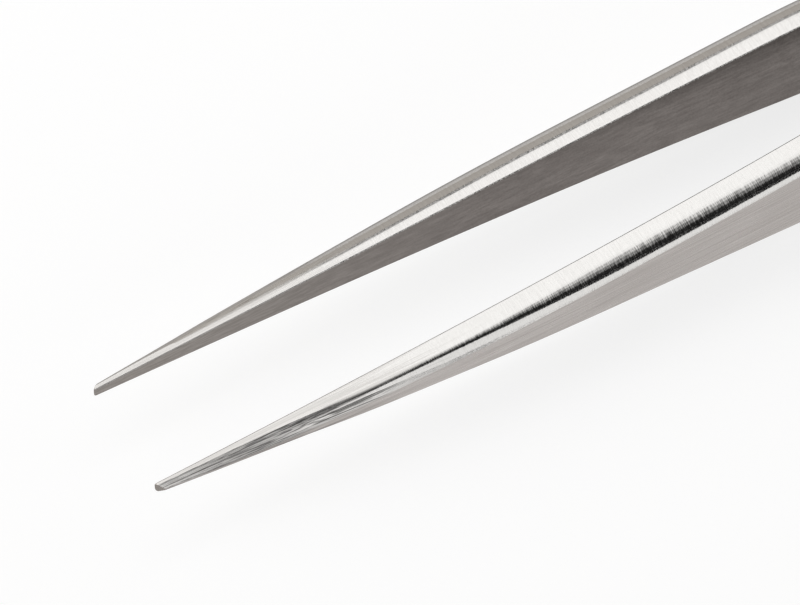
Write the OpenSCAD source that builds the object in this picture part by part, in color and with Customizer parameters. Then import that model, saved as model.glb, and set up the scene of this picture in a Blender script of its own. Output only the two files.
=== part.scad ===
// Precision tweezers: two ground steel arms, bowed apart and spot welded together at the heel.
// An arm is drawn from its tip, at x = 0, to the end of its heel. It is the solid that a plan
// outline, a side outline and the bevels along its outer edges have in common. Each arm comes as
// two nodes that meet in the middle of its thin springy leaf, where it bends: the arm node swings,
// and the heel node stays put. Millimetres, with the tweezers lying on their side edges.

/* [Overall] */
// Length from the tips to the end of the heel
overall_len = 130; // [115:1:160]
// Gap between the relaxed tips
tip_gap = 9.4; // [6:0.2:12]
// Length over which the two arms lie together at the heel
weld_len = 16; // [14:1:20]

/* [Bow of an arm] */
// Straight stretch behind the tip, before the bow begins
straight_len = 5; // [2:1:30]
// How late an arm bows in towards the heel: 2 is a plain arc
bow_power = 3.2; // [2:0.1:4]
// Length of the bend that turns an arm parallel to the other, just before they meet
root_bend_len = 6; // [3:0.5:8]

/* [Width of an arm] */
// Width at the tip
tip_w = 0.9; // [0.7:0.1:2]
// Widest part, which is also the height of the tweezers on their side
body_w = 9.7; // [8:0.1:12]
// Width of the heel
heel_w = 6.6; // [5:0.1:8]
// Width gained in each millimetre at the tip
tip_spread = 0.095; // [0.05:0.005:0.1]
// Distance from the tip to the widest part
wide_x = 66; // [60:1:82]
// Length over which the taper rounds off into the widest part
shoulder_len = 6; // [4:1:14]
// Length that stays at the full width
wide_len = 16; // [8:1:18]

/* [Thickness of an arm] */
// Thickness at the tip
tip_t = 0.55; // [0.4:0.05:1]
// Thickness where the ground taper of the tip ends
blade_t = 2.6; // [2:0.05:3]
// Greatest thickness
body_t = 2.85; // [2.2:0.05:3.4]
// Thickness of the springy leaf and of the heel
leaf_t = 0.9; // [0.8:0.05:1.3]
// Length of the ground taper of the tip
grind_len = 40; // [20:1:45]
// Distance from the tip to the thickest part
thick_x = 68; // [50:1:75]
// Length from the end of the heel to where the leaf has thinned to its own thickness
leaf_len = 30; // [28:1:38]

/* [Bevels] */
// Part of the thickness that a bevel takes from each outer edge, at the tip
tip_bevel_share = 0.7; // [0.4:0.02:0.7]
// The same part behind the ground taper
body_bevel_share = 0.52; // [0.3:0.02:0.7]
// Tilt of a bevel from the side edge
bevel_tilt = 30; // [20:1:40]
// Tilt of the break between a bevel and the outer face
break_tilt = 60; // [50:1:70]
// Depth of that break
break_depth = 0.08; // [0.02:0.01:0.1]
// Thickness left square at the very end of the tip
nose_t = 0.22; // [0.1:0.02:0.3]
// Length of the slant from there to the outer face
nose_len = 0.4; // [0.1:0.05:0.8]

/* [Hinge line in the leaf] */
// Distance from the hinge line to where the arms meet
hinge_from_weld = 12; // [10:1:13]
// Gap from each tip to the middle when the tweezers are closed
closed_gap = 0.01; // [0.01:0.01:0.1]
// Room left in the slit at the hinge line once an arm has turned
hinge_room = 0.03; // [0.01:0.01:0.06]

/* [Spot welds] */
// Radius of a weld nugget
nugget_r = 1.5; // [1:0.1:2.2]
// Depth of a nugget in each heel
nugget_depth = 0.5; // [0.2:0.05:0.6]
// Distance from the end of the heel to the rear weld
rear_weld_from_end = 5.5; // [4:0.5:6]
// Distance between the two welds
weld_pitch = 6.5; // [5:0.5:7]
// Radius of the mark that the electrode left on the outside
mark_r = 1.8; // [1:0.1:2.4]
// Depth of that mark
mark_depth = 0.06; // [0.02:0.02:0.12]

/* [Hidden] */
$fn = 64;

step = 2;                  // spacing of the sections along an arm
reach = 2 * body_w;        // how far a cutting body stands out past the arm
margin = 1;                // how far it stands out past the tip and the heel
grind_power = 2;           // the ground taper fades out like a parabola
steel = "silver";

half_gap = tip_gap / 2;
weld_x = overall_len - weld_len;
leaf_x = overall_len - leaf_len;
shoulder_x = wide_x - shoulder_len;
wide_end_x = wide_x + wide_len;
end_r = heel_w / 2;
rear_weld_x = overall_len - rear_weld_from_end;
front_weld_x = rear_weld_x - weld_pitch;

// Eases from 0 to 1 as t goes from 0 to 1
function ease(t) = let (s = min(max(t, 0), 1)) s * s * (3 - 2 * s);

// Half the gap between the arms. The bow alone would reach the middle at meet_x, and the root
// bend rounds it off into the flat where the arms lie together.
meet_x = weld_x - root_bend_len / 2;
bow_len = meet_x - straight_len;
root_round = bow_power * half_gap / bow_len * root_bend_len / 2;
function bow(x) = half_gap * (1 - pow(max(x - straight_len, 0) / bow_len, bow_power));
function inner_y(x) =
    x >= weld_x || bow(x) <= -root_round ? 0
    : bow(x) >= root_round ? bow(x)
    : pow(bow(x) + root_round, 2) / (4 * root_round);

// Thickness: a ground tip, a slightly swelling blade, then a long thinning into the leaf
function thickness(x) =
    x < grind_len ? blade_t - (blade_t - tip_t) * pow(1 - x / grind_len, grind_power)
    : x < thick_x ? blade_t + (body_t - blade_t) * ease((x - grind_len) / (thick_x - grind_len))
    : body_t - (body_t - leaf_t) * ease((x - thick_x) / (leaf_x - thick_x));
function outer_y(x) = inner_y(x) + thickness(x);

// Width: a flaring taper, a rounded shoulder, a straight stretch, then in to the heel
flare = (body_w - tip_w - tip_spread * (shoulder_x + shoulder_len / 2))
    / (shoulder_x * (shoulder_x + shoulder_len));
shoulder_bend = (tip_spread + 2 * flare * shoulder_x) / (2 * shoulder_len);
function width(x) =
    x < shoulder_x ? tip_w + tip_spread * x + flare * x * x
    : x < wide_x ? body_w - shoulder_bend * pow(wide_x - x, 2)
    : body_w - (body_w - heel_w) * ease((x - wide_end_x) / (weld_x - wide_end_x));

// How much of the thickness a bevel takes
function bevel_y(x) = thickness(x)
    * (tip_bevel_share + (body_bevel_share - tip_bevel_share) * ease(x / grind_len));

// The bevel and the break are planes tilted about the length of the arm. These give how far
// each stands from the middle line, along its own normal.
function bevel_stand(x) =
    (outer_y(x) - bevel_y(x)) * sin(bevel_tilt) + width(x) / 2 * cos(bevel_tilt);
function break_stand(x) = outer_y(x) * sin(break_tilt)
    + (width(x) / 2 - bevel_y(x) * tan(bevel_tilt)) * cos(break_tilt) - break_depth;

// The hinge line stands in the middle of the leaf. An arm turns about it until its tip is
// closed_gap from the middle, and the slit there is just wide enough for that turn.
hinge_x = weld_x - hinge_from_weld;
hinge_y = inner_y(hinge_x) + thickness(hinge_x) / 2;
close_angle = asin((hinge_y - closed_gap) / norm([hinge_x, half_gap - hinge_y]))
    + atan((half_gap - hinge_y) / hinge_x);
slit = thickness(hinge_x) / 2 * tan(close_angle) + hinge_room;

// Places along an arm, from a to b, that include both ends
function places(a, b) = let (n = max(1, ceil((b - a) / step))) [for (i = [0:n]) a + (b - a) * i / n];
function reversed(list) = [for (i = [len(list) - 1:-1:0]) list[i]];

module plan_outline() {
    inner = [for (x = places(straight_len, weld_x)) [x, inner_y(x)]];
    outer = [for (x = places(nose_len, weld_x)) [x, outer_y(x)]];
    heel_end = [[overall_len, 0], [overall_len, leaf_t]];
    polygon(concat([[0, half_gap]], inner, heel_end, reversed(outer), [[0, half_gap + nose_t]]));
}

module side_outline() {
    edge = concat(
        [for (x = places(0, wide_x)) [x, width(x) / 2]],
        [for (x = places(wide_end_x, weld_x)) [x, width(x) / 2]],
        [[overall_len, heel_w / 2]]);
    polygon(concat(edge, [for (p = reversed(edge)) [p.x, -p.y]]));
}

// Everything on the arm's side of one tilted plane that follows the arm, and the mirror image of
// that across the middle of the width
module under_both(tilt, stand) {
    ends = [[-reach, stand[0].y], [overall_len + reach, stand[len(stand) - 1].y]];
    outline = concat([[-reach, -reach], ends[0]], stand, [ends[1], [overall_len + reach, -reach]]);
    intersection_for (side = [0, 1])
        mirror([0, 0, side]) rotate([90 - tilt, 0, 0])
            linear_extrude(2 * reach, center = true) polygon(outline);
}

// Rounds off the end of the heel
module round_end() {
    translate([overall_len - end_r, 0, 0])
        rotate([90, 0, 0]) cylinder(h = 2 * reach, r = end_r, center = true);
    translate([-margin, -reach, -reach]) cube([margin + overall_len - end_r, 2 * reach, 2 * reach]);
}

// One whole arm, on the +Y side
module arm_blank() {
    along = places(0, weld_x);
    intersection() {
        linear_extrude(2 * reach, center = true) plan_outline();
        rotate([90, 0, 0]) linear_extrude(2 * reach, center = true) side_outline();
        under_both(bevel_tilt, [for (x = along) [x, bevel_stand(x)]]);
        under_both(break_tilt, [for (x = along) [x, break_stand(x)]]);
        round_end();
    }
}

// Keeps what lies between two places along the arm
module between(a, b) {
    intersection() {
        children();
        translate([a, -reach, -reach]) cube([b - a, 2 * reach, 2 * reach]);
    }
}

module swinging_part() {
    between(-margin, hinge_x - slit / 2) arm_blank();
}

// A nugget reaches the same depth into both heels
module nugget() {
    rotate([90, 0, 0]) cylinder(h = 2 * nugget_depth, r = nugget_r, center = true);
}

// The electrode leaves a shallow round dish
module electrode_mark() {
    dish_r = (mark_r * mark_r + mark_depth * mark_depth) / (2 * mark_depth);
    translate([0, leaf_t + dish_r - mark_depth, 0]) sphere(dish_r);
}

module heel_part() {
    difference() {
        between(hinge_x + slit / 2, overall_len + margin) arm_blank();
        for (x = [front_weld_x, rear_weld_x]) translate([x, 0, 0]) {
            nugget();
            electrode_mark();
        }
    }
}

// The middle of the length and of the two arms, with the lowest edges on the ground
module in_frame() {
    color(steel) translate([-overall_len / 2, 0, body_w / 2]) children();
}

module left_arm() { in_frame() mirror([0, 1, 0]) swinging_part(); }
module right_arm() { in_frame() swinging_part(); }
module left_heel() { in_frame() mirror([0, 1, 0]) heel_part(); }
module right_heel() { in_frame() heel_part(); }
module front_spot_weld() { in_frame() translate([front_weld_x, 0, 0]) nugget(); }
module rear_spot_weld() { in_frame() translate([rear_weld_x, 0, 0]) nugget(); }

left_arm();
right_arm();
left_heel();
right_heel();
front_spot_weld();
rear_spot_weld();
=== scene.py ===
"""Looks of a pair of straight, fine-point precision tweezers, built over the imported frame."""

import logging
import math
from collections.abc import Iterable, Sequence
from dataclasses import dataclass, field, replace
from enum import Enum

import bmesh
import bpy
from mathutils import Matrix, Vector


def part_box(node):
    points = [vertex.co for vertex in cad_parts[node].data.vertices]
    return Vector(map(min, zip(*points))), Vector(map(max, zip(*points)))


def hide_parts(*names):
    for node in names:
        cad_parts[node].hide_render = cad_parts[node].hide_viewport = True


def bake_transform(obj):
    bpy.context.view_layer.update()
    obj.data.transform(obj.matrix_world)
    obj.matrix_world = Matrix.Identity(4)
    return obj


LOG = logging.getLogger("tweezers")
# Lengths in metres: a millimetre, a micron, and how close two points count as one
MM = 0.001
MICRON = 1e-6
MERGE = 1e-7
# How far up a surface faces where an arm's flat top starts, and where it is quite level
FLAT_TOP = (0.94, 0.999)
BLACK = (0.0, 0.0, 0.0, 1.0)
WHITE = (1.0, 1.0, 1.0, 1.0)
Span = tuple[float, float]
Pair = tuple[int, int]
Level = tuple[float, float, float]
Colour = tuple[float, float, float, float]
Socket = bpy.types.NodeSocket
Wire = float | Sequence[float] | Socket

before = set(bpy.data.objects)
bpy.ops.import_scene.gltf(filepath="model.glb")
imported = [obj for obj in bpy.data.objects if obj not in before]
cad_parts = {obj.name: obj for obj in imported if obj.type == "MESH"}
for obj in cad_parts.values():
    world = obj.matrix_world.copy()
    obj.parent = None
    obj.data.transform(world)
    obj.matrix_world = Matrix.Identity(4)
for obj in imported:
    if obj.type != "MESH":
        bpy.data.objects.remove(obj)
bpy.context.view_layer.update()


class Side(Enum):
    """The two arms, by the side of the mid plane that they stand on."""

    LEFT = -1
    RIGHT = 1


class Face(Enum):
    """The ground faces of an arm, in the order of its material slots."""

    EDGE = 0
    OUTER = 1
    INNER = 2
    MARK = 3


@dataclass(frozen=True)
class Datum:
    """Where the object stands in the frame, in metres: its points and its middle height."""

    tip_x: float
    mid_z: float


def ease(share: float) -> float:
    """Smooth step of a share that is held between 0 and 1."""
    held = min(max(share, 0.0), 1.0)
    return held * held * (3.0 - 2.0 * held)


def grey(level: float) -> Colour:
    """A plain grey."""
    return (level, level, level, 1.0)


def take_up(piece: bpy.types.Object) -> None:
    """Selects one piece alone and makes it the one that operators work on.

    Args:
        piece: the piece to work on next.
    """
    bpy.ops.object.select_all(action="DESELECT")
    piece.select_set(True)
    bpy.context.view_layer.objects.active = piece


# ---------------------------------------------------------------- shape of one arm


@dataclass(frozen=True)
class ArmProfile:
    """Sizes of one arm in millimetres, measured along it from its point."""

    # Inner face: straight behind the point, then bowed in to the heel
    half_gap: float = 4.7
    straight_len: float = 5.0
    bow_power: float = 3.2
    meet_x: float = 111.0
    root_bend_len: float = 6.0
    weld_x: float = 114.0
    # Thickness: of the point, the ground blade, the body and the springy leaf
    tip_t: float = 0.55
    blade_t: float = 2.6
    body_t: float = 2.85
    leaf_t: float = 0.9
    grind_len: float = 40.0
    thick_x: float = 68.0
    leaf_x: float = 100.0
    # Width: of the point, the body and the heel
    tip_w: float = 0.9
    tip_spread: float = 0.095
    body_w: float = 9.7
    heel_w: float = 6.6
    shoulder_len: float = 6.0
    wide_x: float = 66.0
    wide_end_x: float = 82.0
    overall_len: float = 130.0
    # Slanted flat and rounded corners of the nose
    nose_t: float = 0.1
    nose_len: float = 0.55
    nose_round: float = 0.16
    # Rounded outer edges: their radius, how many degrees they turn, and their tighter first arc
    round_tip: float = 0.3
    round_body: float = 1.72
    round_len: float = 37.0
    round_share: float = 0.42
    round_depth: float = 0.8
    turn_tip: float = 90.0
    turn_body: float = 59.0
    turn_len: float = 32.0
    split: float = 45.0
    tight: float = 0.35
    tight_from: float = 24.0
    tight_to: float = 42.0
    # Straight facet that takes the round's place near the point
    facet_share: float = 0.57
    facet_fall: float = 1.32
    facet_depth: float = 0.4
    facet_from: float = 8.0
    facet_to: float = 17.0
    # Small break of the inner edges
    edge_break: float = 0.06
    break_share: float = 0.12
    arc_steps: tuple[int, int] = (5, 3)

    def inner(self, x: float) -> float:
        """Distance of the inner face from the mid plane.

        Args:
            x: distance from the point.

        Returns:
            The distance, which is 0 where the two arms lie together.
        """
        run = self.meet_x - self.straight_len
        rise = max(x - self.straight_len, 0.0) / run
        bow = self.half_gap * (1.0 - rise ** self.bow_power)
        soft = self.bow_power * self.half_gap / run * self.root_bend_len / 2
        if x >= self.weld_x or bow <= -soft:
            return 0.0
        return bow if bow >= soft else (bow + soft) ** 2 / (4 * soft)

    def thickness(self, x: float) -> float:
        """Thickness of the steel.

        Args:
            x: distance from the point.

        Returns:
            The distance from the inner face to the outer face.
        """
        if x < self.grind_len:
            full = self.blade_t - (self.blade_t - self.tip_t) * (1 - x / self.grind_len) ** 2
        elif x < self.thick_x:
            share = (x - self.grind_len) / (self.thick_x - self.grind_len)
            full = self.blade_t + (self.body_t - self.blade_t) * ease(share)
        else:
            share = (x - self.thick_x) / (self.leaf_x - self.thick_x)
            full = self.body_t - (self.body_t - self.leaf_t) * ease(share)
        return full

    def width(self, x: float) -> float:
        """Width of the arm, from its lower edge to its upper edge.

        Args:
            x: distance from the point.

        Returns:
            The width, narrowed over the round of the nose.
        """
        shoulder_x = self.wide_x - self.shoulder_len
        swell = self.body_w - self.tip_w - self.tip_spread * (shoulder_x + self.shoulder_len / 2)
        flare = swell / (shoulder_x * (shoulder_x + self.shoulder_len))
        if x < shoulder_x:
            full = self.tip_w + self.tip_spread * x + flare * x * x
        elif x < self.wide_x:
            bend = (self.tip_spread + 2 * flare * shoulder_x) / (2 * self.shoulder_len)
            full = self.body_w - bend * (self.wide_x - x) ** 2
        else:
            share = (x - self.wide_end_x) / (self.weld_x - self.wide_end_x)
            full = self.body_w - (self.body_w - self.heel_w) * ease(share)
        if x < self.nose_round:
            inset = math.sqrt(1 - (1 - x / self.nose_round) ** 2)
            full -= 2 * self.nose_round * (1 - inset)
        return full

    def radius(self, x: float) -> float:
        """Radius of the rounded outer edges.

        Args:
            x: distance from the point.

        Returns:
            The radius, held within the section where the steel is thin or narrow.
        """
        left = 1 - min(x / self.round_len, 1.0)
        full = self.round_body - (self.round_body - self.round_tip) * left * left
        if x > self.thick_x:
            full *= self.thickness(x) / self.body_t
        return min(full, self.round_depth * self.thickness(x), self.round_share * self.width(x))

    def arcs(self, x: float) -> list[Span]:
        """Two arcs that round the outer edges, of which the first is tighter near the point.

        Args:
            x: distance from the point.

        Returns:
            How far out and how far down each of their points lies, from the top face on.
        """
        radius = self.radius(x)
        turn = self.turn_tip - (self.turn_tip - self.turn_body) * ease(x / self.turn_len)
        turn, split = math.radians(turn), math.radians(self.split)
        share = (x - self.tight_from) / (self.tight_to - self.tight_from)
        first = radius * (self.tight + (1 - self.tight) * ease(share))
        rest = radius * (1 - math.cos(turn)) - first * (1 - math.cos(split))
        second = rest / (math.cos(split) - math.cos(turn))
        points = [(0.0, 0.0)]
        for step in range(self.arc_steps[0]):
            tilt = split * (step + 1) / self.arc_steps[0]
            points.append((first * math.sin(tilt), first * (1 - math.cos(tilt))))
        out, down = points[-1]
        for step in range(self.arc_steps[1]):
            tilt = split + (turn - split) * (step + 1) / self.arc_steps[1]
            points.append((out + second * (math.sin(tilt) - math.sin(split)),
                           down + second * (math.cos(split) - math.cos(tilt))))
        return points

    def rounding(self, x: float) -> list[Span]:
        """Round of the outer edges, which gives way to a straight facet near the point.

        Args:
            x: distance from the point.

        Returns:
            How far in from the outer face and how far down each of its points lies.
        """
        arcs = self.arcs(x)
        flat = 1 - ease((x - self.facet_from) / (self.facet_to - self.facet_from))
        back = self.facet_share * self.thickness(x)
        drop = min(self.facet_fall * back, self.facet_depth * self.width(x))
        steps = sum(self.arc_steps)
        points = []
        for step, (out, down) in enumerate(arcs):
            inset = arcs[-1][0] - out
            points.append((inset + (back * (1 - step / steps) - inset) * flat,
                           down + (drop * step / steps - down) * flat))
        return points

    def section(self, x: float) -> list[Level]:
        """Upper half of the section, from the inner face round to the outer face.

        Args:
            x: distance from the point.

        Returns:
            One (x, y, z) for each pair of points, with z above the middle of the width.
        """
        y, t, w = self.inner(x), self.thickness(x), self.width(x) / 2
        cut = min(self.edge_break, self.break_share * t)
        levels = [(x, y, w - cut), (x, y + cut, w)]
        return levels + [(x, y + t - back, w - down) for back, down in self.rounding(x)]

    def heel_end(self, angle: float) -> list[Level]:
        """Section swept round the half-round end of the heel.

        Args:
            angle: degrees from across the arm, 90 at its very end.

        Returns:
            One (x, y, z) for each pair of points.
        """
        radius = self.heel_w / 2
        centre = self.overall_len - radius
        s, c = math.sin(math.radians(angle)), math.cos(math.radians(angle))
        return [(centre + z * s, y, z * c) for _, y, z in self.section(centre)]


@dataclass
class EditBench:
    """Edit-mode work on one mesh, with what is to be worked on picked by its place."""

    piece: bpy.types.Object

    def shape(self) -> bmesh.types.BMesh:
        """The mesh as it stands in edit mode."""
        return bmesh.from_edit_mesh(self.piece.data)

    def pick(self, numbers: Iterable[int]) -> None:
        """Selects these points and nothing else.

        Args:
            numbers: the points' places in the mesh.
        """
        bpy.ops.mesh.select_all(action="DESELECT")
        shape = self.shape()
        shape.verts.ensure_lookup_table()
        for number in numbers:
            shape.verts[number].select = True

    def picked_ring(self, mid_z: float) -> list[Pair]:
        """Pairs of upper and lower points in the ring that is selected now.

        Args:
            mid_z: height of the plane between the two halves.

        Returns:
            The points' places in the mesh, from the inner face to the outer face.
        """
        ring = [v for v in self.shape().verts if v.select]
        mid_y = sum(v.co.y for v in ring) / len(ring)

        def turn(vertex: bmesh.types.BMVert) -> float:
            """Angle of a point round the middle of the ring."""
            return math.atan2(abs(vertex.co.z - mid_z), vertex.co.y - mid_y)

        upper = sorted((v for v in ring if v.co.z > mid_z), key=turn, reverse=True)
        lower = sorted((v for v in ring if v.co.z <= mid_z), key=turn, reverse=True)
        return [(a.index, b.index) for a, b in zip(upper, lower)]

    def place_pair(self, pair: Pair, goal: Level, mid_z: float) -> None:
        """Moves one upper and one lower point to a place and its mirror below.

        Args:
            pair: the two points' places in the mesh.
            goal: x and y of both, and z above the middle.
            mid_z: height of the plane between the two halves.
        """
        self.pick(pair)
        now = self.shape().verts[pair[0]].co.copy()
        rise = goal[2] / (now.z - mid_z)
        bpy.ops.transform.resize(value=(1, 1, rise), center_override=(now.x, now.y, mid_z))
        bpy.ops.transform.translate(value=(goal[0] - now.x, goal[1] - now.y, 0))


@dataclass
class ArmBlade:
    """One arm in a single strip of steel, from its point to the end of its heel."""

    side: Side
    profile: ArmProfile
    datum: Datum
    # Places along the arm, in millimetres, and angles round its heel, that a section is drawn at
    stations: tuple[float, ...] = (
        0.0, 0.02, 0.05, 0.1, 0.16, 0.3, 0.48, 0.55, 0.62, 0.9, 1.5, 3, 5, 8, 11, 14, 17, 20, 23,
        26, 29, 32, 36, 40, 44, 48, 52, 56, 60, 62, 64, 66, 69, 72, 76, 80, 83, 86, 89, 92, 96,
        100, 103, 106, 108, 110, 111.5, 113, 114.5, 117, 120, 123.5, 126.7)
    heel_angles: tuple[float, ...] = (15, 30, 45, 60, 75, 90)
    # First ring's distance from the mid plane, how far each new ring is drawn, and the smoothing
    ring_y: float = 5.0
    draw_len: float = 0.5
    smooth_levels: int = 2
    # Spot welds: the pockets for the nuggets and the electrodes' shallow dishes
    weld_places: tuple[float, ...] = (118.0, 124.5)
    nugget_r: float = 1.503
    nugget_depth: float = 0.502
    dish_r: float = 1.8
    dish_depth: float = 0.06
    dish_margin: float = 0.01
    dish_segments: Pair = (96, 64)
    nugget_segments: int = 64
    # Which way a surface faces to count as the inner face, the nose, the outer face or a dish
    inward: float = -0.6
    nose_back: float = -0.4
    flat_tilt: float = 0.35
    dish_facing: float = 0.5
    smooth_angle: float = 24.0
    shading_weight: int = 60

    @property
    def name(self) -> str:
        """Name of the finished piece."""
        return f"{self.side.name.lower()}_arm_blade"

    def in_frame(self, level: Level) -> Level:
        """A place on the arm, in the frame's metres, with z still above the middle."""
        return (level[0] * MM + self.datum.tip_x, level[1] * MM, level[2] * MM)

    def first_ring(self, count: int) -> bpy.types.Object:
        """Lays the ring that the strip is drawn out of, with no point on the middle height.

        Args:
            count: how many points it has.

        Returns:
            The ring, in edit mode and selected.
        """
        centre = (self.datum.tip_x, self.ring_y * MM, self.datum.mid_z)
        bpy.ops.object.select_all(action="DESELECT")
        bpy.ops.mesh.primitive_circle_add(vertices=count, radius=MM, fill_type="NGON",
                                          location=centre, rotation=(0, math.pi / 2, 0))
        piece = bpy.context.object
        piece.name = piece.data.name = self.name
        bpy.ops.object.transform_apply(location=True, rotation=True, scale=True)
        bpy.ops.object.mode_set(mode="EDIT")
        bpy.ops.mesh.select_mode(type="VERT")
        bpy.ops.mesh.select_all(action="SELECT")
        bpy.ops.transform.rotate(value=math.pi / count, orient_axis="X", center_override=centre)
        return piece

    def loft(self) -> bpy.types.Object:
        """Draws the strip out of one ring, station by station.

        Returns:
            The closed strip, still with a plain number of faces.
        """
        rings = [self.profile.section(x) for x in self.stations]
        rings += [self.profile.heel_end(angle) for angle in self.heel_angles]
        piece = self.first_ring(2 * len(rings[0]))
        bench, mid_z = EditBench(piece), self.datum.mid_z
        for number, ring in enumerate(rings):
            if number:
                bpy.ops.mesh.extrude_region_move(
                    TRANSFORM_OT_translate={"value": (self.draw_len * MM, 0, 0)})
            pairs = bench.picked_ring(mid_z)
            for pair, level in zip(pairs, ring):
                bench.place_pair(pair, self.in_frame(level), mid_z)
            bench.pick([n for pair in pairs for n in pair])
            bench.shape().select_flush(True)
        bpy.ops.mesh.select_mode(type="FACE")
        bpy.ops.mesh.delete(type="ONLY_FACE")
        bpy.ops.mesh.select_mode(type="VERT")
        bpy.ops.mesh.select_all(action="SELECT")
        bpy.ops.mesh.remove_doubles(threshold=MERGE)
        bpy.ops.mesh.normals_make_consistent(inside=False)
        bpy.ops.object.mode_set(mode="OBJECT")
        return piece

    def smooth_lengthwise(self, piece: bpy.types.Object) -> None:
        """Rounds the strip along its length and keeps its section as it was drawn.

        Args:
            piece: the lofted strip.
        """
        bpy.ops.object.mode_set(mode="EDIT")
        bpy.ops.mesh.select_mode(type="EDGE")
        bpy.ops.mesh.select_all(action="DESELECT")
        nose = self.datum.tip_x + MERGE
        for edge in EditBench(piece).shape().edges:
            a, b = edge.verts[0].co, edge.verts[1].co
            edge.select = abs(a.x - b.x) > MICRON or max(a.x, b.x) < nose
        bpy.ops.transform.edge_crease(value=1.0)
        bpy.ops.object.mode_set(mode="OBJECT")
        rounding = piece.modifiers.new("lengthwise", "SUBSURF")
        rounding.levels = rounding.render_levels = self.smooth_levels
        bpy.ops.object.modifier_apply(modifier=rounding.name)

    def cut(self, piece: bpy.types.Object, cutter: bpy.types.Object) -> None:
        """Takes one cutter's shape out of the strip, and removes the cutter.

        Args:
            piece: the strip.
            cutter: a closed mesh.
        """
        hole = piece.modifiers.new("cut", "BOOLEAN")
        hole.operation, hole.solver, hole.object = "DIFFERENCE", "EXACT", cutter
        take_up(piece)
        bpy.ops.object.modifier_apply(modifier=hole.name)
        bpy.data.objects.remove(cutter)

    def cut_nose(self, piece: bpy.types.Object) -> None:
        """Grinds the slanted flat at the point with one plane.

        Args:
            piece: the smoothed strip.
        """
        shape = self.profile
        rise = shape.thickness(shape.nose_len) - shape.nose_t
        top = shape.inner(0.0) + shape.nose_t
        take_up(piece)
        bpy.ops.object.mode_set(mode="EDIT")
        bpy.ops.mesh.select_mode(type="FACE")
        bpy.ops.mesh.select_all(action="SELECT")
        bpy.ops.mesh.bisect(plane_co=(self.datum.tip_x, top * MM, self.datum.mid_z),
                            plane_no=(-rise, shape.nose_len, 0), use_fill=True,
                            clear_outer=True, threshold=MERGE)
        bpy.ops.object.mode_set(mode="OBJECT")

    def mark_welds(self, piece: bpy.types.Object) -> None:
        """Presses the electrode dishes into the outer face and opens the nuggets' pockets.

        Args:
            piece: the smoothed strip.
        """
        # The dish's cutter has its middle one depth above the face and reaches two depths down,
        # so it meets the face in a circle of sqrt(3/4) of its own radius
        spread = self.dish_r / math.sqrt(0.75)
        for x in self.weld_places:
            along = self.datum.tip_x + x * MM
            outer = (self.profile.inner(x) + self.profile.thickness(x)) * MM
            bpy.ops.object.select_all(action="DESELECT")
            bpy.ops.mesh.primitive_uv_sphere_add(
                segments=self.dish_segments[0], ring_count=self.dish_segments[1], radius=MM,
                location=(along, outer + self.dish_depth * MM, self.datum.mid_z),
                rotation=(math.pi / 2, 0, 0))
            bpy.context.object.scale = (spread, spread, 2 * self.dish_depth)
            bpy.ops.object.transform_apply(location=True, rotation=True, scale=True)
            self.cut(piece, bpy.context.object)
            bpy.ops.object.select_all(action="DESELECT")
            bpy.ops.mesh.primitive_cylinder_add(
                vertices=self.nugget_segments, radius=self.nugget_r * MM,
                depth=2 * self.nugget_depth * MM, location=(along, 0, self.datum.mid_z),
                rotation=(math.pi / 2, 0, 0))
            bpy.ops.object.transform_apply(location=True, rotation=True, scale=True)
            self.cut(piece, bpy.context.object)

    def turn_over(self, piece: bpy.types.Object) -> None:
        """Mirrors the strip to its own side of the mid plane, with its faces outwards.

        Args:
            piece: the strip, drawn on the right.
        """
        take_up(piece)
        bpy.ops.object.mode_set(mode="EDIT")
        bpy.ops.mesh.select_all(action="SELECT")
        if self.side is Side.LEFT:
            bpy.ops.transform.resize(value=(1, -1, 1), center_override=(0, 0, self.datum.mid_z))
        bpy.ops.mesh.normals_make_consistent(inside=False)
        bpy.ops.object.mode_set(mode="OBJECT")

    def build(self, finishes: dict[Face, bpy.types.Material]) -> bpy.types.Object:
        """Makes the whole arm.

        Args:
            finishes: the material of each face.

        Returns:
            The finished arm.
        """
        piece = self.loft()
        self.smooth_lengthwise(piece)
        self.cut_nose(piece)
        self.mark_welds(piece)
        self.turn_over(piece)
        self.dress(piece, finishes)
        self.hang(piece)
        return piece

    def dress(self, piece: bpy.types.Object, finishes: dict[Face, bpy.types.Material]) -> None:
        """Gives each ground face its finish, and sets which edges read as sharp.

        Args:
            piece: the strip.
            finishes: the material of each face.
        """
        for face in Face:
            piece.data.materials.append(finishes[face])
        points = piece.data.vertices
        for polygon in piece.data.polygons:
            corners = [points[number].co for number in polygon.vertices]
            polygon.material_index = self.face_of(polygon, corners).value
        take_up(piece)
        bpy.ops.object.shade_smooth_by_angle(angle=math.radians(self.smooth_angle))
        even = piece.modifiers.new("even_shading", "WEIGHTED_NORMAL")
        even.keep_sharp, even.weight = True, self.shading_weight
        bpy.ops.object.modifier_apply(modifier=even.name)

    def face_of(self, polygon: bpy.types.MeshPolygon, corners: list[Vector]) -> Face:
        """Tells which of the ground faces a polygon belongs to.

        Args:
            polygon: one polygon of the strip.
            corners: the places of its corners.

        Returns:
            The ground face, by the way the polygon faces and by its place.
        """
        normal = polygon.normal
        outward = normal.y * self.side.value
        nose_end = self.datum.tip_x + self.profile.nose_len * MM
        nose = polygon.center.x < nose_end and normal.x < self.nose_back
        if outward < self.inward or nose:
            return Face.INNER
        if outward > self.dish_facing and self.in_dish(corners):
            return Face.MARK
        flat = abs(normal.z) < self.flat_tilt and abs(normal.x) < self.flat_tilt
        return Face.OUTER if flat and outward > 0 else Face.EDGE

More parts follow.
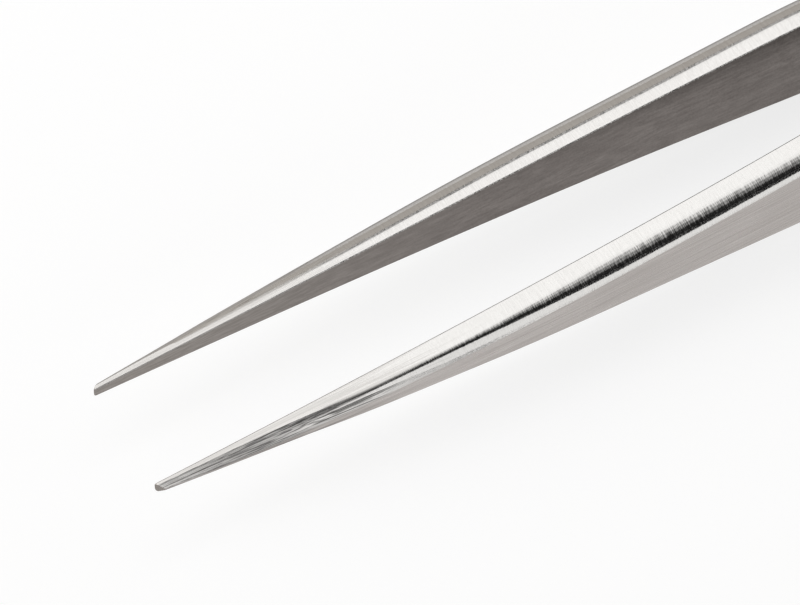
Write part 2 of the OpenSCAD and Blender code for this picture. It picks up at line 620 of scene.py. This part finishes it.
    def in_dish(self, corners: list[Vector]) -> bool:
        """Tells whether a polygon lies wholly within one of the weld marks.

        Args:
            corners: the places of the polygon's corners.

        Returns:
            True where all of the corners lie within the same mark.
        """
        reach = (self.dish_r + self.dish_margin) * MM
        tip_x, mid_z = self.datum.tip_x, self.datum.mid_z
        return any(all(math.hypot(co.x - tip_x - x * MM, co.z - mid_z) < reach for co in corners)
                   for x in self.weld_places)

    def hang(self, piece: bpy.types.Object) -> None:
        """Bakes the strip's place into its mesh, and has it stand for the arm and heel of its
        side.

        Args:
            piece: the dressed strip.
        """
        word, mid_z = self.side.name.lower(), self.datum.mid_z
        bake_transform(piece)
        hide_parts(f"{word}_arm", f"{word}_heel")


# ---------------------------------------------------------------- finishes


@dataclass
class NodeBench:
    """Lays nodes in one tree and wires them."""

    tree: bpy.types.NodeTree

    def wire(self, socket: Socket, value: Wire) -> None:
        """Sets one input, or links it to another node's output.

        Args:
            socket: the input.
            value: a value or an output.
        """
        if isinstance(value, Socket):
            self.tree.links.new(value, socket)
        else:
            socket.default_value = value

    def add(self, kind: str, wires: dict[int | str, Wire] | None = None,
            **settings: object) -> bpy.types.Node:
        """Adds one node.

        Args:
            kind: the node's type, without its ShaderNode prefix.
            wires: what each of its inputs takes, by name or number, a value or an output.
            settings: the node's own options.

        Returns:
            The new node.
        """
        node = self.tree.nodes.new(f"ShaderNode{kind}")
        for option, value in settings.items():
            setattr(node, option, value)
        for socket, value in (wires or {}).items():
            self.wire(node.inputs[socket], value)
        return node

    def calc(self, operation: str, a: Wire, b: Wire) -> Socket:
        """Output of one sum of two numbers."""
        return self.add("Math", {0: a, 1: b}, operation=operation).outputs[0]

    def plus(self, a: Wire, b: Wire) -> Socket:
        """One number added to another."""
        return self.calc("ADD", a, b)

    def minus(self, a: Wire, b: Wire) -> Socket:
        """One number taken from another."""
        return self.calc("SUBTRACT", a, b)

    def times(self, a: Wire, b: Wire) -> Socket:
        """One number by another."""
        return self.calc("MULTIPLY", a, b)

    def span(self, value: Wire, low: Wire, high: Wire, to_low: float = 0.0,
             to_high: float = 1.0) -> Socket:
        """Carries a value from one span to another, smoothly and held at both ends.

        Args:
            value: the value.
            low: where its span starts.
            high: where its span ends.
            to_low: what it becomes at the start.
            to_high: what it becomes at the end.

        Returns:
            The new value.
        """
        wires = {"Value": value, "From Min": low, "From Max": high, "To Min": to_low,
                 "To Max": to_high}
        return self.add("MapRange", wires, interpolation_type="SMOOTHSTEP").outputs[0]

    def mix(self, share: Wire, a: Wire, b: Wire) -> Socket:
        """Output of one mix of two numbers."""
        return self.add("Mix", {0: share, 2: a, 3: b}).outputs[0]

    def blend(self, share: Wire, a: Wire, b: Wire) -> Socket:
        """Output of one mix of two colours."""
        return self.add("Mix", {0: share, 6: a, 7: b}, data_type="RGBA").outputs[2]


@dataclass(frozen=True)
class GroupPlan:
    """Name and sockets of one shared effect."""

    name: str
    takes: dict[str, str]
    gives: dict[str, str]

    def open(self) -> tuple[NodeBench, bpy.types.Node, bpy.types.Node]:
        """Makes the group with its sockets.

        Returns:
            A bench on the group's tree, and the tree's input and output nodes.
        """
        tree = bpy.data.node_groups.new(self.name, "ShaderNodeTree")
        for way, sockets in (("INPUT", self.takes), ("OUTPUT", self.gives)):
            for label, kind in sockets.items():
                tree.interface.new_socket(label, in_out=way, socket_type=f"NodeSocket{kind}")
        start = tree.nodes.new("NodeGroupInput")
        end = tree.nodes.new("NodeGroupOutput")
        return NodeBench(tree), start, end


@dataclass(frozen=True)
class BrushGrain:
    """Brush marks drawn out along one direction."""

    noise_roughness: float = 0.6
    noise_span: Span = (0.25, 0.75)

    def make(self) -> bpy.types.NodeTree:
        """Builds the effect.

        Returns:
            A group that takes a place and the marks' pitch for each axis, in marks per metre.
        """
        takes = {"Place": "Vector", "Pitch": "Vector", "Detail": "Float"}
        bench, start, end = GroupPlan("brush_grain", takes, {"Grain": "Float"}).open()
        place = bench.add("VectorMath", {0: start.outputs["Place"], 1: start.outputs["Pitch"]},
                          operation="MULTIPLY").outputs[0]
        noise = bench.add("TexNoise", {"Vector": place, "Scale": 1.0,
                                       "Detail": start.outputs["Detail"],
                                       "Roughness": self.noise_roughness}).outputs[0]
        bench.wire(end.inputs["Grain"], bench.span(noise, *self.noise_span))
        return bench.tree


@dataclass(frozen=True)
class PointFan:
    """Places near the point drawn apart like the ribs of a fan, so marks run along the arm.

    The ribs meet a reach in front of the point, and half_gap is how far an arm's inner face
    stands from the mid plane there, both in millimetres.
    """

    reach: float = 7.5
    half_gap: float = 4.7

    def make(self, datum: Datum) -> bpy.types.NodeTree:
        """Builds the effect.

        Args:
            datum: where the object stands.

        Returns:
            A group that takes a place and gives the place to draw the marks at.
        """
        bench, start, end = GroupPlan("point_fan", {"Place": "Vector"}, {"Place": "Vector"}).open()
        reach = self.reach * MM
        along, across, up = bench.add("SeparateXYZ", {0: start.outputs["Place"]}).outputs
        from_meet = bench.calc("MAXIMUM", bench.plus(along, reach - datum.tip_x), reach)
        ratio = bench.calc("DIVIDE", 2 * reach, from_meet)
        side = bench.minus(bench.calc("ABSOLUTE", across, 0.0), self.half_gap * MM)
        rise = bench.minus(up, datum.mid_z)
        spread = bench.add("CombineXYZ", {0: along, 1: bench.times(side, ratio),
                                          2: bench.times(rise, ratio)}).outputs[0]
        bench.wire(end.inputs["Place"], spread)
        return bench.tree


@dataclass(frozen=True)
class GroundZone:
    """The hand-ground part of an arm behind its point, with a ragged, streaky end."""

    streak_middle: float = 0.5

    def make(self) -> bpy.types.NodeTree:
        """Builds the effect.

        Returns:
            A group that takes a place, a streak value and where the zone ends, and gives a mask.
        """
        takes = {"Place": "Vector", "Streak": "Float", "Full": "Float", "Gone": "Float",
                 "Ragged": "Float"}
        bench, start, end = GroupPlan("ground_zone", takes, {"Mask": "Float"}).open()
        along = bench.add("SeparateXYZ", {0: start.outputs["Place"]}).outputs[0]
        swing = bench.times(bench.minus(start.outputs["Streak"], self.streak_middle),
                            start.outputs["Ragged"])
        mask = bench.span(bench.plus(along, swing), start.outputs["Full"], start.outputs["Gone"],
                          1.0, 0.0)
        bench.wire(end.inputs["Mask"], mask)
        return bench.tree


@dataclass(frozen=True)
class BrushComb:
    """Brush marks across a rounded edge, which comb the end of a reflection into bristles.

    The two spans say how far up the surface faces where the combing starts and where it fades
    to what is left of it on the flat top.
    """

    start_span: Span = (0.80, 0.88)
    fade_span: Span = (0.97, 0.999)
    left_on_top: float = 0.1
    mark_middle: float = 0.5

    def make(self) -> bpy.types.NodeTree:
        """Builds the effect.

        Returns:
            A group that takes the marks, how far up the surface faces and how far each mark
            leans, and gives the surface's normal.
        """
        takes = {"Marks": "Float", "Upward": "Float", "Swing": "Float"}
        bench, start, end = GroupPlan("brush_comb", takes, {"Normal": "Vector"}).open()
        upward = start.outputs["Upward"]
        share = bench.times(bench.span(upward, *self.start_span),
                            bench.span(upward, *self.fade_span, 1.0, self.left_on_top))
        swing = bench.times(bench.minus(start.outputs["Marks"], self.mark_middle),
                            start.outputs["Swing"])
        lean = bench.add("CombineXYZ", {1: bench.times(swing, share)}).outputs[0]
        turned = bench.add("VectorTransform", {0: lean}, vector_type="VECTOR",
                           convert_from="OBJECT", convert_to="WORLD").outputs[0]
        normal = bench.add("NewGeometry").outputs["Normal"]
        moved = bench.add("VectorMath", {0: normal, 1: turned}, operation="ADD").outputs[0]
        unit = bench.add("VectorMath", {0: moved}, operation="NORMALIZE").outputs[0]
        bench.wire(end.inputs["Normal"], unit)
        return bench.tree


@dataclass(frozen=True)
class SharedEffects:
    """The effects that the steels share, each built once."""

    grain: bpy.types.NodeTree
    zone: bpy.types.NodeTree
    comb: bpy.types.NodeTree
    fan: bpy.types.NodeTree

    @classmethod
    def build(cls, datum: Datum) -> "SharedEffects":
        """Builds every effect for an object that stands at the datum."""
        return cls(BrushGrain().make(), GroundZone().make(), BrushComb().make(),
                   PointFan().make(datum))


@dataclass(frozen=True)
class Grain:
    """One set of brush marks: marks per metre on each axis, and how deep they are in metres."""

    pitch: tuple[float, float, float]
    depth: float
    detail: float = 3.0


@dataclass(frozen=True)
class Layer:
    """Colour, roughness and height in metres that one way of working the steel gives it."""

    colour: Socket
    roughness: Socket
    height: Socket


@dataclass(frozen=True)
class Surface:
    """What one steel's nodes read from the piece, and the bench that they are laid on.

    Place, ribs, along and height are coordinates on the piece, upward says how far up its
    surface faces, and steep is 1 except on the flat top, where marks show less.
    """

    bench: NodeBench
    effects: SharedEffects
    place: Socket
    ribs: Socket
    along: Socket
    height: Socket
    upward: Socket
    steep: Socket

    @classmethod
    def read(cls, bench: NodeBench, effects: SharedEffects, flat_share: float) -> "Surface":
        """Lays the nodes that read the piece's surface.

        Args:
            bench: the bench on the material's tree.
            effects: the shared effects.
            flat_share: how much of the marks is left on the flat top.

        Returns:
            The surface.
        """
        coordinates = bench.add("TexCoord").outputs
        place = coordinates["Object"]
        along, _, height = bench.add("SeparateXYZ", {0: place}).outputs
        upward = bench.add("SeparateXYZ", {0: coordinates["Normal"]}).outputs[2]
        steep = bench.span(upward, *FLAT_TOP, 1.0, flat_share)
        ribs = bench.add("Group", {"Place": place}, node_tree=effects.fan).outputs["Place"]
        return cls(bench, effects, place, ribs, along, height, upward, steep)

    def grain(self, grain: Grain, place: Socket) -> Socket:
        """Lays one set of brush marks.

        Args:
            grain: the marks to draw.
            place: the coordinates to draw them on.

        Returns:
            The marks' value.
        """
        wires = {"Place": place, "Pitch": grain.pitch, "Detail": grain.detail}
        return self.bench.add("Group", wires, node_tree=self.effects.grain).outputs["Grain"]


@dataclass(frozen=True)
class FacetRub:
    """How the facet beside the point is rubbed, and the painted shade along its foot at the middle
    height.

    The painted shade grows in along the arm and fades with the height above the middle, both
    given in millimetres.
    """

    tone: Colour
    dark_tone: Colour
    scratch_span: Span = (0.12, 0.55)
    gouge_span: Span = (0.54, 0.8)
    gouge_share: float = 0.7
    painted_foot_shade: float = 0.45
    foot_along: Span = (4.0, 12.0)
    foot_rise: Span = (0.25, 0.65)

    def colour(self, surface: Surface, scratch: Socket, gouge: Socket) -> Socket:
        """Colour of the rubbed steel.

        Args:
            surface: the surface that is worked.
            scratch: the fine marks' value.
            gouge: the deep marks' value.

        Returns:
            The colour, darker in both kinds of mark.
        """
        bench = surface.bench
        rubbed = bench.blend(bench.span(scratch, *self.scratch_span), self.dark_tone, self.tone)
        dug = bench.span(gouge, *self.gouge_span, 0.0, self.gouge_share)
        return bench.blend(dug, rubbed, self.dark_tone)

    def foot(self, surface: Surface, datum: Datum) -> Socket:
        """Painted shade along the foot of the facets, where the two of them meet.

        Args:
            surface: the surface that is worked.
            datum: where the object stands.

        Returns:
            How much darker the painted shade makes the steel.
        """
        bench = surface.bench
        start, full = (datum.tip_x + x * MM for x in self.foot_along)
        low, high = (rise * MM for rise in self.foot_rise)
        above_mid = bench.calc("ABSOLUTE", bench.minus(surface.height, datum.mid_z), 0.0)
        grown = bench.span(surface.along, start, full, 0.0, self.painted_foot_shade)
        return bench.times(bench.span(above_mid, low, high, 1.0, 0.0), grown)


@dataclass(frozen=True)
class PointGrind:
    """How a face is ground by hand behind the point, and where along the frame that ends.

    Steep surfaces have a roughness of their own, and steep_span says how far up a surface
    faces where they end.
    """

    scratches: Grain
    tone: Colour
    dark_tone: Colour
    roughness: float
    full_x: float
    gone_x: float
    ragged: float = 0.012
    steep_roughness: float = 0.45
    steep_span: Span = (0.80, 0.97)
    scratch_span: Span = (0.2, 0.7)
    scratch_floor: float = 0.0
    gouges: Grain = Grain((160, 7000, 7000), 4e-6, 1.0)
    gouge_span: Span = (0.68, 0.85)
    facet: FacetRub | None = None

    def work(self, surface: Surface, datum: Datum) -> tuple[Layer, Socket]:
        """Lays the ground steel.

        Args:
            surface: the surface that is worked.
            datum: where the object stands.

        Returns:
            The ground layer, and the mask of where it shows.
        """
        bench = surface.bench
        scratch = surface.grain(self.scratches, surface.ribs)
        gouge = surface.grain(self.gouges, surface.ribs)
        cut = bench.times(bench.span(gouge, *self.gouge_span), surface.steep)
        share = bench.span(scratch, *self.scratch_span, self.scratch_floor, 1.0)
        colour = bench.blend(share, self.dark_tone, self.tone)
        colour = bench.blend(cut, colour, self.dark_tone)
        if self.facet:
            on_facet = bench.span(surface.upward, *self.steep_span, 1.0, 0.0)
            rubbed = self.facet.colour(surface, scratch, gouge)
            colour = bench.blend(on_facet, colour, rubbed)
            # Painted shade along the foot of the facets, towards black
            colour = bench.blend(self.facet.foot(surface, datum), colour, BLACK)
        roughness = bench.span(surface.upward, *self.steep_span, self.steep_roughness,
                               self.roughness)
        dug = bench.minus(bench.times(scratch, self.scratches.depth),
                          bench.times(cut, self.gouges.depth))
        zone = {"Place": surface.place, "Streak": scratch, "Full": self.full_x,
                "Gone": self.gone_x, "Ragged": self.ragged}
        mask = bench.add("Group", zone, node_tree=surface.effects.zone).outputs["Mask"]
        return Layer(colour, roughness, bench.times(dug, surface.steep)), mask


@dataclass(frozen=True)
class GroundSteel:
    """A ground and brushed steel surface: its colour, its grain and how it shines.

    Painted shade on the steep rim darkens surfaces that face up less than steep_span, and painted
    shade towards the upper edge darkens the steel over the heights of top_span in millimetres.
    """

    name: str
    tone: Colour
    dark_tone: Colour
    brush: Grain
    ticks: Grain
    roughness: float
    roughness_swing: float
    edge_tint: Colour = (0.6, 0.58, 0.55, 1)
    flat_share: float = 0.12
    cloud_pitch: float = 300.0
    cloud_stretch: float = 0.4
    cloud_share: float = 0.3
    painted_rim_shade: float = 0.0
    steep_span: Span = (0.60, 0.76)
    painted_top_shade: float = 0.0
    top_span: Span = (6.2, 9.7)
    comb: Grain | None = None
    grind: PointGrind | None = None

    def brushed(self, surface: Surface) -> Layer:
        """Lays the steel as it is brushed all over.

        Args:
            surface: the surface that is brushed.

        Returns:
            The brushed layer.
        """
        bench, place = surface.bench, surface.place
        brush, ticks = surface.grain(self.brush, place), surface.grain(self.ticks, place)
        pitch = (self.cloud_pitch * self.cloud_stretch, self.cloud_pitch, self.cloud_pitch)
        cloud = surface.grain(Grain(pitch, 0.0, 2.0), place)
        colour = bench.blend(brush, self.dark_tone, self.tone)
        colour = bench.blend(bench.span(cloud, 0.0, 1.0, 0.0, self.cloud_share), colour,
                             self.dark_tone)
        # Painted shade on the steep rim, where the surface faces up less than steep_span
        if self.painted_rim_shade:
            shade = bench.span(surface.upward, *self.steep_span, self.painted_rim_shade, 0.0)
            colour = bench.blend(shade, colour, BLACK)
        roughness = bench.span(ticks, 0.0, 1.0, self.roughness - self.roughness_swing,
                               self.roughness + self.roughness_swing)
        leant = bench.times(bench.times(ticks, surface.steep), self.ticks.depth)
        return Layer(colour, roughness, bench.plus(bench.times(brush, self.brush.depth), leant))

    def combed(self, surface: Surface, mask: Wire) -> Socket:
        """Lays the marks that comb the reflections on a rounded edge.

        Args:
            surface: the surface that is brushed.
            mask: where the steel is ground instead.

        Returns:
            The combed normal.
        """
        bench = surface.bench
        swing = bench.times(bench.minus(1.0, mask), self.comb.depth)
        wires = {"Marks": surface.grain(self.comb, surface.place), "Upward": surface.upward,
                 "Swing": swing}
        return bench.add("Group", wires, node_tree=surface.effects.comb).outputs["Normal"]

    def make(self, effects: SharedEffects, datum: Datum) -> bpy.types.Material:
        """Builds the material.

        Args:
            effects: the shared effects.
            datum: where the object stands.

        Returns:
            A procedural material on the piece's own coordinates.
        """
        material = bpy.data.materials.new(self.name)
        material.use_nodes = True
        material.node_tree.nodes.clear()
        bench = NodeBench(material.node_tree)
        surface = Surface.read(bench, effects, self.flat_share)
        layer, mask = self.brushed(surface), 0.0
        if self.grind:
            ground, mask = self.grind.work(surface, datum)
            layer = Layer(bench.blend(mask, layer.colour, ground.colour),
                          bench.mix(mask, layer.roughness, ground.roughness),
                          bench.mix(mask, layer.height, ground.height))
        colour = layer.colour
        # Painted shade towards the upper edge of the face, blended towards black
        if self.painted_top_shade:
            low, high = (height * MM for height in self.top_span)
            shaded_top = bench.span(surface.height, low, high, 0.0, self.painted_top_shade)
            colour = bench.blend(shaded_top, colour, BLACK)
        relief = {"Height": bench.times(layer.height, 1 / MICRON), "Strength": 1.0,
                  "Distance": MICRON}
        if self.comb:
            relief["Normal"] = self.combed(surface, mask)
        shader = bench.add("BsdfPrincipled", {
            "Base Color": colour, "Roughness": layer.roughness, "Metallic": 1.0,
            "Normal": bench.add("Bump", relief).outputs[0], "Specular Tint": self.edge_tint})
        bench.add("OutputMaterial", {"Surface": shader.outputs[0]})
        return material


@dataclass(frozen=True)
class SteelFinishes:
    """The finishes of the object's steel."""

    edge: GroundSteel = GroundSteel(
        name="cross_brushed_steel", tone=(0.60, 0.59, 0.575, 1), dark_tone=(0.555, 0.545, 0.53, 1),
        brush=Grain((11000, 600, 600), 0.7e-6), ticks=Grain((9500, 2600, 2600), 5e-6, 2.0),
        roughness=0.16, roughness_swing=0.04, comb=Grain((14000, 800, 800), 0.30, 2.0),
        grind=PointGrind(
            scratches=Grain((90, 15000, 15000), 1.2e-6, 2.5), scratch_floor=0.7,
            tone=(0.62, 0.605, 0.585, 1), dark_tone=(0.34, 0.33, 0.315, 1), roughness=0.3,
            full_x=-0.053, gone_x=-0.040, gouges=Grain((380, 11000, 11000), 4e-6, 2.0),
            facet=FacetRub((0.84, 0.82, 0.80, 1), (0.13, 0.127, 0.122, 1))))
    outer: GroundSteel = GroundSteel(
        name="long_brushed_steel", tone=(0.61, 0.58, 0.562, 1), dark_tone=(0.46, 0.43, 0.415, 1),
        brush=Grain((100, 300, 6000), 0.8e-6), ticks=Grain((900, 900, 6000), 0.8e-6, 2.0),
        roughness=0.3, roughness_swing=0.06,
        grind=PointGrind(
            scratches=Grain((140, 12000, 12000), 2.0e-6, 2.0), scratch_floor=0.2,
            tone=(0.46, 0.435, 0.42, 1), dark_tone=(0.26, 0.243, 0.232, 1), roughness=0.32,
            full_x=-0.057, gone_x=-0.045))
    inner: GroundSteel = GroundSteel(
        name="satin_inner_steel", tone=(0.275, 0.252, 0.24, 1), dark_tone=(0.19, 0.172, 0.164, 1),
        brush=Grain((500, 900, 3000), 1.8e-6), ticks=Grain((6000, 6000, 6000), 1.5e-6, 2.0),
        roughness=0.42, roughness_swing=0.08, cloud_pitch=600.0, cloud_share=0.5, painted_top_shade=0.38,
        grind=PointGrind(
            scratches=Grain((600, 7000, 7000), 1.5e-6, 2.0), ragged=0.003,
            tone=(0.35, 0.325, 0.308, 1), dark_tone=(0.27, 0.25, 0.235, 1), roughness=0.42,
            full_x=-0.062, gone_x=-0.030))
    mark: GroundSteel = GroundSteel(
        name="pressed_mark_steel", tone=(0.46, 0.43, 0.40, 1), dark_tone=(0.30, 0.275, 0.26, 1),
        brush=Grain((2500, 2500, 2500), 1.5e-6), ticks=Grain((7000, 7000, 7000), 0.8e-6, 2.0),
        roughness=0.36, roughness_swing=0.1, cloud_pitch=900.0)
    weld: GroundSteel = GroundSteel(
        name="weld_nugget_steel", tone=(0.50, 0.48, 0.46, 1), dark_tone=(0.36, 0.34, 0.33, 1),
        brush=Grain((4000, 4000, 4000), 3e-6), ticks=Grain((9000, 9000, 9000), 1e-6, 2.0),
        roughness=0.45, roughness_swing=0.1, cloud_pitch=900.0)

    def fine_edge(self) -> GroundSteel:
        """The finish of the right arm's edges, finer and less combed than the left's, with painted
        shade on its steep rim.

        Returns:
            The left arm's finish with other values.
        """
        grind = replace(self.edge.grind, scratch_floor=0.8,
                        facet=FacetRub((0.52, 0.50, 0.485, 1), (0.40, 0.385, 0.37, 1)))
        return replace(self.edge, name="fine_brushed_steel", dark_tone=(0.54, 0.525, 0.51, 1),
                       edge_tint=(0.44, 0.425, 0.41, 1), painted_rim_shade=0.55, grind=grind,
                       comb=Grain((12000, 800, 800), 0.05, 2.0))

    def make(self, datum: Datum) -> tuple[dict[Side, dict[Face, bpy.types.Material]],
                                          bpy.types.Material]:
        """Builds every finish.

        Args:
            datum: where the object stands.

        Returns:
            The material of each face of each arm, and that of the weld nuggets.
        """
        effects = SharedEffects.build(datum)
        outer, inner, mark, left, right, nugget = (
            steel.make(effects, datum) for steel in (
                self.outer, self.inner, self.mark, self.edge, self.fine_edge(), self.weld))
        faces = {side: {Face.EDGE: edge, Face.OUTER: outer, Face.INNER: inner, Face.MARK: mark}
                 for side, edge in ((Side.LEFT, left), (Side.RIGHT, right))}
        return faces, nugget


# ---------------------------------------------------------------- assembly and stage


@dataclass
class SpotWelds:
    """The two weld nuggets between the heels."""

    nodes: tuple[str, ...] = ("front_spot_weld", "rear_spot_weld")

    def dress(self, finish: bpy.types.Material) -> list[bpy.types.Object]:
        """Puts the finish on both nuggets.

        Args:
            finish: the nuggets' material.

        Returns:
            The two nuggets.
        """
        nuggets = [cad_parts[name] for name in self.nodes]
        for nugget in nuggets:
            nugget.data.materials.clear()
            nugget.data.materials.append(finish)
        return nuggets


@dataclass
class Tweezers:
    """The whole object: two arms and the welds that hold their heels."""

    left_profile: ArmProfile = field(default_factory=lambda: ArmProfile(edge_break=0.1))
    right_profile: ArmProfile = field(
        default_factory=lambda: ArmProfile(
            grind_len=44.0, round_tip=0.45, round_body=1.93, round_len=32.0, round_share=0.5,
            tight=0.75, tight_from=4.0, tight_to=14.0, facet_share=0.46, facet_from=3.0,
            facet_to=11.0, edge_break=0.07))
    right_inward: float = -0.9
    welds: SpotWelds = field(default_factory=SpotWelds)
    finishes: SteelFinishes = field(default_factory=SteelFinishes)

    def build(self, datum: Datum) -> list[bpy.types.Object]:
        """Models and dresses every piece.

        Args:
            datum: where the object stands.

        Returns:
            The two arms and the two weld nuggets.
        """
        faces, nugget = self.finishes.make(datum)
        right = ArmBlade(Side.RIGHT, self.right_profile, datum, inward=self.right_inward)
        left = ArmBlade(Side.LEFT, self.left_profile, datum)
        arms = [arm.build(faces[arm.side]) for arm in (right, left)]
        return arms + self.welds.dress(nugget)


@dataclass(frozen=True)
class GradedSoftbox:
    """The overhead softbox, full on the far side and fading out towards the near side."""

    name: str = "overhead_softbox"
    height: float = 0.45
    ends: tuple[float, float] = (-1.0, 0.6)
    fade_from: float = -0.31
    full_at: float = 0.16
    far_edge: float = 0.335
    fall: float = 1.75
    level: float = 1.6

    def light(self) -> None:
        """Hangs the softbox as a glowing sheet that faces the floor."""
        bpy.ops.object.select_all(action="DESELECT")
        middle = (sum(self.ends) / 2, (self.fade_from + self.far_edge) / 2, self.height)
        bpy.ops.mesh.primitive_plane_add(size=1.0, location=middle)
        sheet = bpy.context.object
        sheet.name = self.name
        sheet.scale = (self.ends[1] - self.ends[0], self.far_edge - self.fade_from, 1)
        bpy.ops.object.transform_apply(location=True, rotation=True, scale=True)
        material = bpy.data.materials.new(self.name)
        material.use_nodes = True
        material.node_tree.nodes.clear()
        bench = NodeBench(material.node_tree)
        across = bench.add("SeparateXYZ", {0: bench.add("TexCoord").outputs["Object"]}).outputs[1]
        share = bench.add("MapRange", {"Value": across, "From Min": self.fade_from,
                                       "From Max": self.full_at}).outputs[0]
        glow = bench.times(bench.calc("POWER", share, self.fall), self.level)
        lamp = bench.add("Emission", {"Strength": glow}).outputs[0]
        bench.add("OutputMaterial", {"Surface": lamp})
        sheet.data.materials.append(material)
        sheet.visible_camera = False


@dataclass(frozen=True)
class Softbox:
    """One large, even lamp."""

    name: str
    centre: tuple[float, float, float]
    size: tuple[float, float]
    look_at: tuple[float, float, float]
    level: float
    tone: tuple[float, float, float] = (1.0, 1.0, 1.0)

    def light(self) -> None:
        """Hangs the lamp, with its face as bright as its level says."""
        data = bpy.data.lights.new(self.name, "AREA")
        data.shape, data.size, data.size_y = "RECTANGLE", *self.size
        data.color = self.tone
        data.energy = self.level * math.pi * self.size[0] * self.size[1]
        lamp = bpy.data.objects.new(self.name, data)
        bpy.context.scene.collection.objects.link(lamp)
        lamp.location = self.centre
        towards = Vector(self.look_at) - Vector(self.centre)
        lamp.rotation_euler = towards.to_track_quat("-Z", "Y").to_euler()
        lamp.visible_camera = False


@dataclass
class Studio:
    """Pale floor, soft lamps and the camera."""

    floor_size: float = 8.0
    floor_tone: float = 0.93
    floor_lift: float = 0.74
    floor_glow: float = 1.06
    room_tone: float = 0.012
    azimuth: float = -30.1
    elevation: float = 57.07
    distance: float = 0.4
    target: tuple[float, float] = (23.87, 0.243)
    lens_per_metre: float = 594.0
    sensor_width: float = 36.0
    clip: Span = (0.01, 20.0)
    overhead: GradedSoftbox = GradedSoftbox()
    softboxes: tuple[Softbox, ...] = (
        Softbox("left_softbox", (-0.95, 0.6, 0.6), (1.1, 1.0), (0.0, 0.0, 0.0), 3.0),
        Softbox("right_softbox", (1.1, 0.1, 0.6), (1.2, 1.0), (0.0, 0.0, 0.0), 1.2),
        Softbox("near_card", (0.1, -0.62, 0.2), (1.4, 0.34), (0.1, 0.0, 0.2), 1.25),
        Softbox("far_card", (0.1, 0.75, 0.43), (1.8, 0.86), (0.1, 0.0, 0.43), 0.62,
                (1.0, 0.95, 0.89)),
    )

    def lay_floor(self) -> None:
        """Lays the plain floor under the object."""
        bpy.ops.object.select_all(action="DESELECT")
        bpy.ops.mesh.primitive_plane_add(size=self.floor_size, location=(0, 0, 0))
        floor = bpy.context.object
        floor.name = "floor"
        material = bpy.data.materials.new("pale_floor")
        material.use_nodes = True
        material.node_tree.nodes.clear()
        bench = NodeBench(material.node_tree)
        matt = bench.add("BsdfDiffuse", {"Color": grey(self.floor_tone)}).outputs[0]
        glow = {"Color": WHITE, "Strength": self.floor_glow}
        white = bench.add("Emission", glow).outputs[0]
        path = bench.add("LightPath").outputs
        seen = bench.calc("MAXIMUM", path["Is Camera Ray"], path["Is Glossy Ray"])
        seen = bench.calc("MAXIMUM", seen, path["Is Transmission Ray"])
        share = bench.times(seen, self.floor_lift)
        both = bench.add("MixShader", {0: share, 1: matt, 2: white}).outputs[0]
        bench.add("OutputMaterial", {"Surface": both})
        floor.data.materials.append(material)

    def light_room(self) -> None:
        """Hangs the lamps in a dim room."""
        world = bpy.data.worlds.new("dim_room")
        world.use_nodes = True
        world.node_tree.nodes["Background"].inputs[0].default_value = grey(self.room_tone)
        bpy.context.scene.world = world
        self.overhead.light()
        for softbox in self.softboxes:
            softbox.light()

    def set_camera(self, datum: Datum) -> None:
        """Places the camera.

        Args:
            datum: where the object stands.
        """
        a, e = math.radians(self.azimuth), math.radians(self.elevation)
        back = Vector((math.sin(a) * math.cos(e), -math.cos(a) * math.cos(e), math.sin(e)))
        aim = Vector((datum.tip_x + self.target[0] * MM, self.target[1] * MM, datum.mid_z))
        data = bpy.data.cameras.new("camera")
        data.sensor_width = self.sensor_width
        data.lens = self.lens_per_metre * self.distance
        data.clip_start, data.clip_end = self.clip
        camera = bpy.data.objects.new("camera", data)
        bpy.context.scene.collection.objects.link(camera)
        camera.location = aim + back * self.distance
        camera.rotation_euler = (-back).to_track_quat("-Z", "Y").to_euler()
        bpy.context.scene.camera = camera

    def build(self, datum: Datum) -> None:
        """Sets up the floor, the light and the camera.

        Args:
            datum: where the object stands.
        """
        bpy.context.scene.view_settings.view_transform = "Standard"
        self.lay_floor()
        self.light_room()
        self.set_camera(datum)


def main() -> None:
    """Builds the studio and the tweezers, and reports the pieces."""
    logging.basicConfig(level=logging.INFO, format="%(message)s")
    low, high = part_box("right_arm")
    datum = Datum(low.x, (low.z + high.z) / 2)
    Studio().build(datum)
    for piece in Tweezers().build(datum):
        LOG.info("piece %s: %d faces", piece.name, len(piece.data.polygons))


if __name__ == "__main__":
    main()
